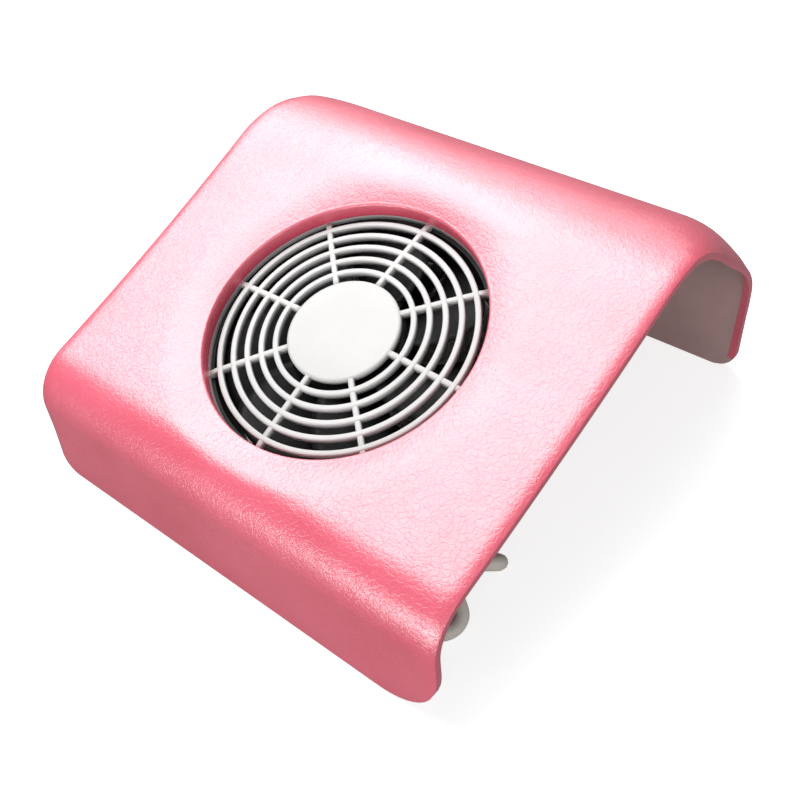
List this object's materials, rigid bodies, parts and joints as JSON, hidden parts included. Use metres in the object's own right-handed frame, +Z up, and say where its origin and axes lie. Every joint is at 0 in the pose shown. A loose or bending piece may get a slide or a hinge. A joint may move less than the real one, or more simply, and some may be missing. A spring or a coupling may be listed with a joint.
{
  "type": "nail dust collector",
  "caption": "Arched desktop hand rest that draws nail dust through a round grille in its sloping top into a cloth bag beneath.",
  "frame": {"origin": "centre of the footprint of the arch, on the table it stands on", "axes": "+X along the arch towards the end with the switch box, +Y from the low front towards the high back, +Z up"},
  "size_m": [0.213, 0.221, 0.0989],
  "materials": {
    "pink_shell": "satin with a fine leather-like grain",
    "white_plastic": "satin",
    "black_plastic": "matt moulded",
    "steel": "turned",
    "copper": "enamelled winding wire",
    "zinc_screws": "zinc plated",
    "collar_plastic": "moulded",
    "bag_cloth": "non-woven cloth",
    "elastic": "covered elastic",
    "pink_box": "satin",
    "switch_black": "moulded",
    "rocker_red": "gloss",
    "brass": "plain",
    "terminal_plastic": "moulded",
    "wire_sheath": "insulated wire",
    "cord_pvc": "soft grey sheath",
    "tie_wire": "flat twist tie",
    "blade_metal": "nickel plated"
  },
  "bodies": {
    "base": {"shell": "pink_shell", "fan_guard": "white_plastic", "fan_frame": "black_plastic", "bearing_upper": "steel", "bearing_lower": "steel", "stator_core": "steel", "stator_coils": "copper", "fan_screws": "zinc_screws", "bag_collar": "collar_plastic", "dust_bag": "bag_cloth", "bag_elastic": "elastic", "switch_box": "pink_box", "box_lid": "pink_box", "box_screws": "zinc_screws", "switch_housing": "switch_black", "rocker_pin": "steel", "switch_tabs": "brass", "terminal_block": "terminal_plastic", "block_screws": "brass", "fan_leads": "wire_sheath", "box_wires": "wire_sheath", "strain_relief": "cord_pvc", "power_cord": "cord_pvc", "cord_coil": "cord_pvc", "cord_tail": "cord_pvc", "cord_tie": "tie_wire", "plug_body": "cord_pvc", "plug_blades": "blade_metal"},
    "fan_rotor": {"impeller": "black_plastic", "rotor": "steel", "shaft": "steel", "shaft_clip": "steel"},
    "switch_rocker": {"rocker": "rocker_red"}
  },
  "joints": [
    {"name": "impeller_spin", "type": "hinge", "parent": "base", "child": "fan_rotor", "pos_m": [0, -0.02063, 0.05817], "axis": [0, -0.279, 0.9603], "continuous": true},
    {"name": "rocker_tilt", "type": "hinge", "parent": "base", "child": "switch_rocker", "pos_m": [0.087, -0.00446, 0.06703], "axis": [0, -0.279, 0.9603], "range_deg": [0, 14]}
  ]
}
